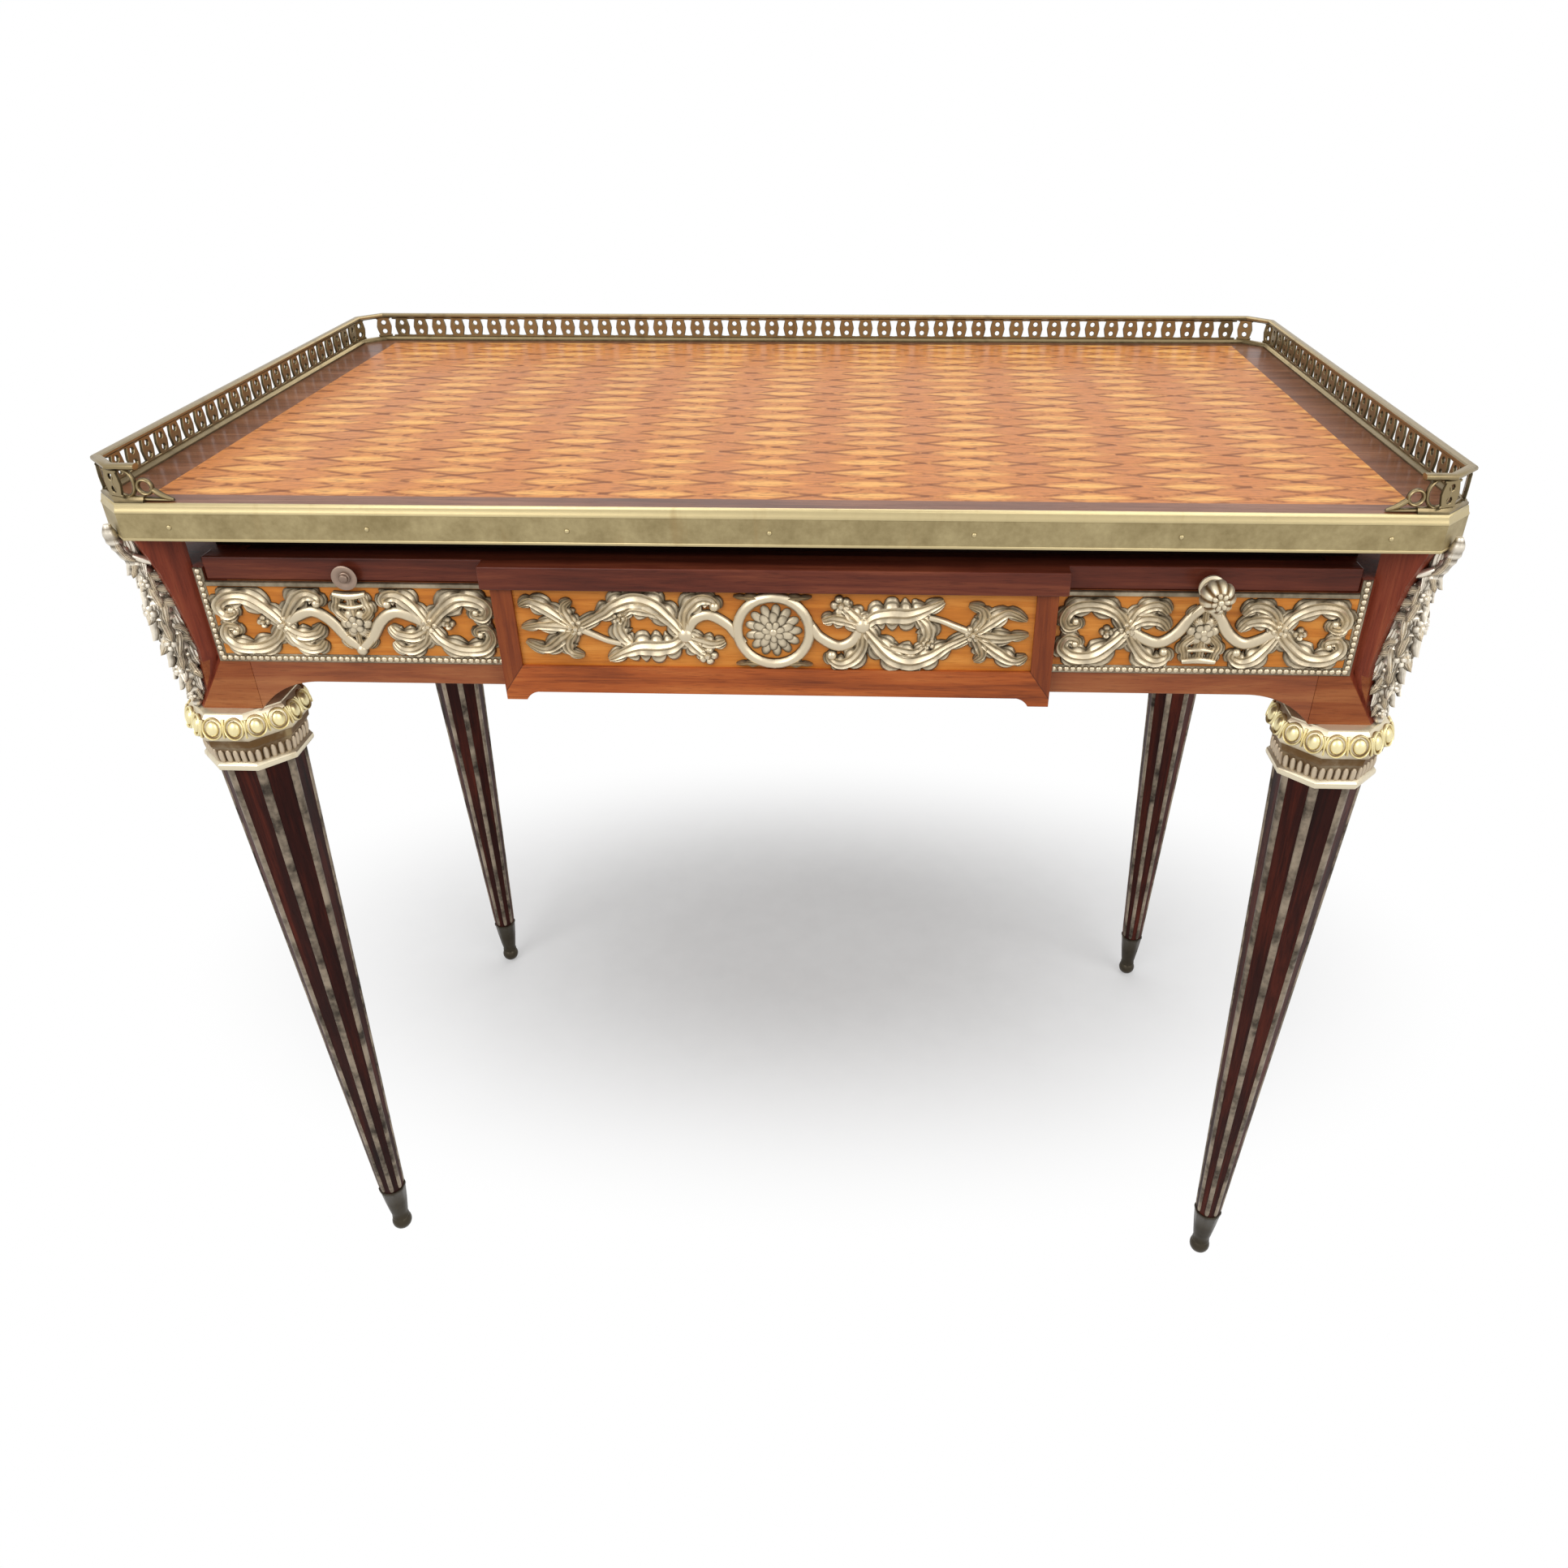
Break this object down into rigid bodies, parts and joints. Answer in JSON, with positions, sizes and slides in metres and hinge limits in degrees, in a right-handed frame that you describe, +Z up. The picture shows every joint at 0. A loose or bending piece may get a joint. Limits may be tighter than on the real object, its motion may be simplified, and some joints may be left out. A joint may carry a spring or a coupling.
{
  "type": "bonheur du jour",
  "caption": "Small French writing table with a brass-galleried parquetry top, a breakfront drawer, a pull-out writing slide and tapered brass-lined legs.",
  "frame": {"origin": "on the floor, under the centre of the overall outline with drawer and slide closed", "axes": "+X to the sitter's right as seen from the front, +Y towards the back, +Z up"},
  "size_m": [0.8778, 0.5004, 0.7845],
  "materials": {
    "mahogany": "polished mahogany",
    "slide_mahogany": "polished dark mahogany",
    "leg_wood": "polished red-brown wood",
    "inlay_brass": "dull brass strip",
    "sabot_bronze": "dark patinated bronze",
    "capital_gilt": "gilt, worn",
    "gilt_mount": "pale gilt with brown patina",
    "band_brass": "olive-gold brass",
    "parquetry": "polished parquetry",
    "crossband": "polished dark crossbanding",
    "satinwood": "polished satinwood",
    "leather": "worn brown leather",
    "dark_wood": "dark stained wood",
    "inner_wood": "plain oak"
  },
  "bodies": {
    "carcass": {"back_rail": "mahogany", "band_pins": "band_brass", "bead_border_left": "gilt_mount", "bead_border_right": "gilt_mount", "brass_band": "band_brass", "capital_back_left": "capital_gilt", "capital_back_right": "capital_gilt", "capital_front_left": "capital_gilt", "capital_front_right": "capital_gilt", "corner_pendant_back_left": "gilt_mount", "corner_pendant_back_right": "gilt_mount", "corner_pendant_front_left": "gilt_mount", "corner_pendant_front_right": "gilt_mount", "corner_post_back_left": "mahogany", "corner_post_back_right": "mahogany", "corner_post_front_left": "mahogany", "corner_post_front_right": "mahogany", "crossband_border": "crossband", "drawer_runners": "inner_wood", "frieze_mount_left": "gilt_mount", "frieze_mount_right": "gilt_mount", "frieze_panel_left": "satinwood", "frieze_panel_right": "satinwood", "front_rail_left": "mahogany", "front_rail_right": "mahogany", "gallery_back": "band_brass", "gallery_left": "band_brass", "gallery_right": "band_brass", "leg_back_left": "leg_wood", "leg_back_right": "leg_wood", "leg_brass_strips": "inlay_brass", "leg_front_left": "leg_wood", "leg_front_right": "leg_wood", "neck_back_rail": "dark_wood", "neck_front_rail": "dark_wood", "neck_side_rails": "dark_wood", "parquetry_field": "parquetry", "partition_left": "inner_wood", "partition_right": "inner_wood", "sabot_back_left": "sabot_bronze", "sabot_back_right": "sabot_bronze", "sabot_front_left": "sabot_bronze", "sabot_front_right": "sabot_bronze", "side_rail_left": "mahogany", "side_rail_right": "mahogany", "slide_runners": "inner_wood", "top_board": "inner_wood"},
    "drawer": {"drawer_back": "inner_wood", "drawer_bottom": "inner_wood", "drawer_front": "mahogany", "drawer_mount": "gilt_mount", "drawer_panel": "satinwood", "drawer_side_left": "inner_wood", "drawer_side_right": "inner_wood"},
    "slide": {"slide_board": "inner_wood", "slide_knob": "gilt_mount", "slide_leather": "leather", "slide_moulding": "slide_mahogany", "slide_stud": "gilt_mount"}
  },
  "joints": [
    {"name": "drawer_slide", "type": "slide", "parent": "carcass", "child": "drawer", "axis": [0, -1, 0], "range_m": [0, 0.28]},
    {"name": "writing_slide", "type": "slide", "parent": "carcass", "child": "slide", "axis": [0, -1, 0], "range_m": [0, 0.25]}
  ]
}
